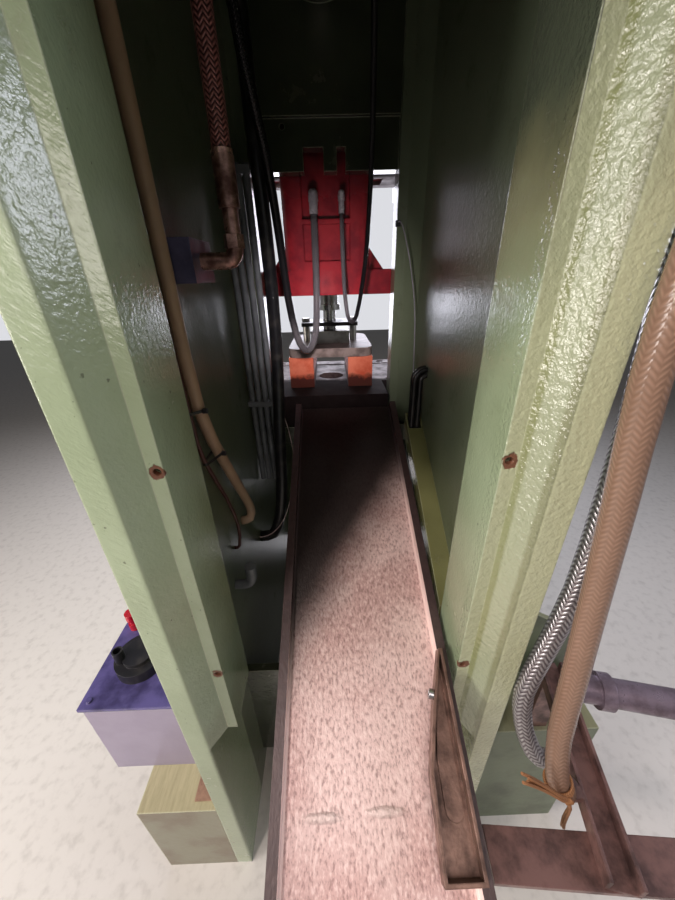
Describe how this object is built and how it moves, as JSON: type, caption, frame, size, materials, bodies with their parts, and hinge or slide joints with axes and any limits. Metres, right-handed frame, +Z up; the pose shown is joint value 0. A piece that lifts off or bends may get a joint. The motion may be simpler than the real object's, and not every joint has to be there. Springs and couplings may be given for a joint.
{
  "type": "mechanical stamping press",
  "caption": "Green C-frame stamping press seen from the open back: red slide, die set, inclined discharge chute, hoses, flywheel drive.",
  "frame": {"origin": "on the floor, at the centre of the four anchor bolt holes", "axes": "+X to the operator's right, +Y from the operator's side to the open back, +Z up"},
  "size_m": [1.2211, 1.6048, 2.477],
  "materials": {
    "green_enamel": "thick, slightly lumpy gloss enamel, light sage green",
    "duct_enamel": "yellow-green gloss enamel",
    "machined_steel": "ground and lightly oiled",
    "tool_steel": "dark oiled tool steel",
    "red_enamel": "gloss red enamel",
    "zinc_steel": "bright zinc plating",
    "bronze": "dull bronze",
    "dark_iron": "dark cast iron, oiled",
    "grey_enamel": "satin grey enamel",
    "black_rubber": "glossy black rubber",
    "worn_steel": "rough grey-beige worn steel",
    "oily_steel": "dark, oil-soaked steel",
    "tank_grey": "pale grey enamel",
    "blue_black_enamel": "blue-black gloss enamel",
    "black_plastic": "black moulded plastic",
    "red_plastic": "red moulded plastic",
    "red_braid": "dark red braided sleeve",
    "tan_rubber": "tan rubber, braid showing through",
    "maroon_plastic": "maroon tube",
    "steel_braid": "stainless wire braid"
  },
  "bodies": {
    "frame": {"side_plate_left": "green_enamel", "side_plate_right": "green_enamel", "bed_plate": "green_enamel", "bed_front_plate": "green_enamel", "lower_cross_plate": "green_enamel", "crown_rear_wall": "green_enamel", "crown_front_plate": "green_enamel", "crown_top_plate": "green_enamel", "rear_bearing_plate": "green_enamel", "foot_rear_left": "green_enamel", "foot_rear_right": "green_enamel", "front_feet": "green_enamel", "flywheel_guard": "green_enamel", "motor_base": "green_enamel", "control_box": "green_enamel", "cable_duct": "duct_enamel", "bolster_plate": "machined_steel", "slide_gibs": "machined_steel", "guide_posts": "machined_steel", "die_block": "machined_steel", "die_shoe": "machined_steel", "stripper_plate": "tool_steel", "die_parallels": "red_enamel", "fasteners": "zinc_steel", "shaft_bushes": "bronze", "valve_pipe": "bronze", "motor": "grey_enamel", "wall_conduits": "grey_enamel", "v_belts": "black_rubber", "hanging_bundle": "black_rubber", "arch_conduits": "black_rubber", "chute_pan": "worn_steel", "chute_channel": "oily_steel", "cross_bar": "oily_steel", "outer_channel": "oily_steel", "round_bar": "oily_steel", "bar_bracket": "oily_steel", "oil_tank": "tank_grey", "tank_lid": "blue_black_enamel", "valve_box": "black_plastic", "level_indicator": "red_plastic", "braided_riser": "red_braid", "tan_hose": "tan_rubber", "outer_hose_brown": "tan_rubber", "maroon_line": "maroon_plastic", "slide_hose_thick": "steel_braid", "slide_hose_thin": "steel_braid", "outer_hose_silver": "steel_braid"},
    "slide": {"slide_casting": "red_enamel", "punch_stem": "machined_steel", "slide_hose_fittings": "zinc_steel"},
    "shaft": {"eccentric_shaft": "machined_steel", "clutch_disc": "dark_iron"},
    "rod": {"connecting_rod": "dark_iron", "adjusting_screw": "machined_steel"},
    "flywheel": {"flywheel": "dark_iron"},
    "motor_pulley": {"motor_pulley": "dark_iron"},
    "filler_cap": {"filler_cap": "black_plastic"},
    "button_left": {"palm_button_left": "red_plastic"},
    "button_right": {"palm_button_right": "red_plastic"}
  },
  "joints": [
    {"name": "slide_travel", "type": "slide", "parent": "frame", "child": "slide", "axis": [0, 0, 1], "range_m": [0, 0.06]},
    {"name": "shaft_turn", "type": "hinge", "parent": "frame", "child": "shaft", "pos_m": [0, -0.362, 1.96], "axis": [0, 1, 0], "range_deg": [0, 180]},
    {"name": "rod_swing", "type": "hinge", "parent": "shaft", "child": "rod", "pos_m": [0, -0.362, 1.93], "axis": [0, 1, 0], "range_deg": [-180, 0]},
    {"name": "flywheel_spin", "type": "hinge", "parent": "frame", "child": "flywheel", "pos_m": [0, 0.686, 1.96], "axis": [0, 1, 0], "continuous": true},
    {"name": "motor_spin", "type": "hinge", "parent": "frame", "child": "motor_pulley", "pos_m": [0, 0.686, 2.365], "axis": [0, 1, 0], "continuous": true},
    {"name": "filler_cap_twist", "type": "hinge", "parent": "frame", "child": "filler_cap", "pos_m": [0.455, 0.43, 0.569], "axis": [0, 0, 1], "range_deg": [0, 90]},
    {"name": "button_left_press", "type": "slide", "parent": "frame", "child": "button_left", "axis": [0, 0, -1], "range_m": [0, 0.005], "stiffness_N_per_m": 1500, "springref_m": -0.006},
    {"name": "button_right_press", "type": "slide", "parent": "frame", "child": "button_right", "axis": [0, 0, -1], "range_m": [0, 0.005], "stiffness_N_per_m": 1500, "springref_m": -0.006}
  ],
  "couplings": [
    {"joint": "shaft_turn", "follows": "slide_travel", "rad_per_m": 52.359},
    {"joint": "rod_swing", "follows": "slide_travel", "rad_per_m": -52.359},
    {"joint": "motor_spin", "follows": "flywheel_spin", "ratio": 5.3226}
  ]
}
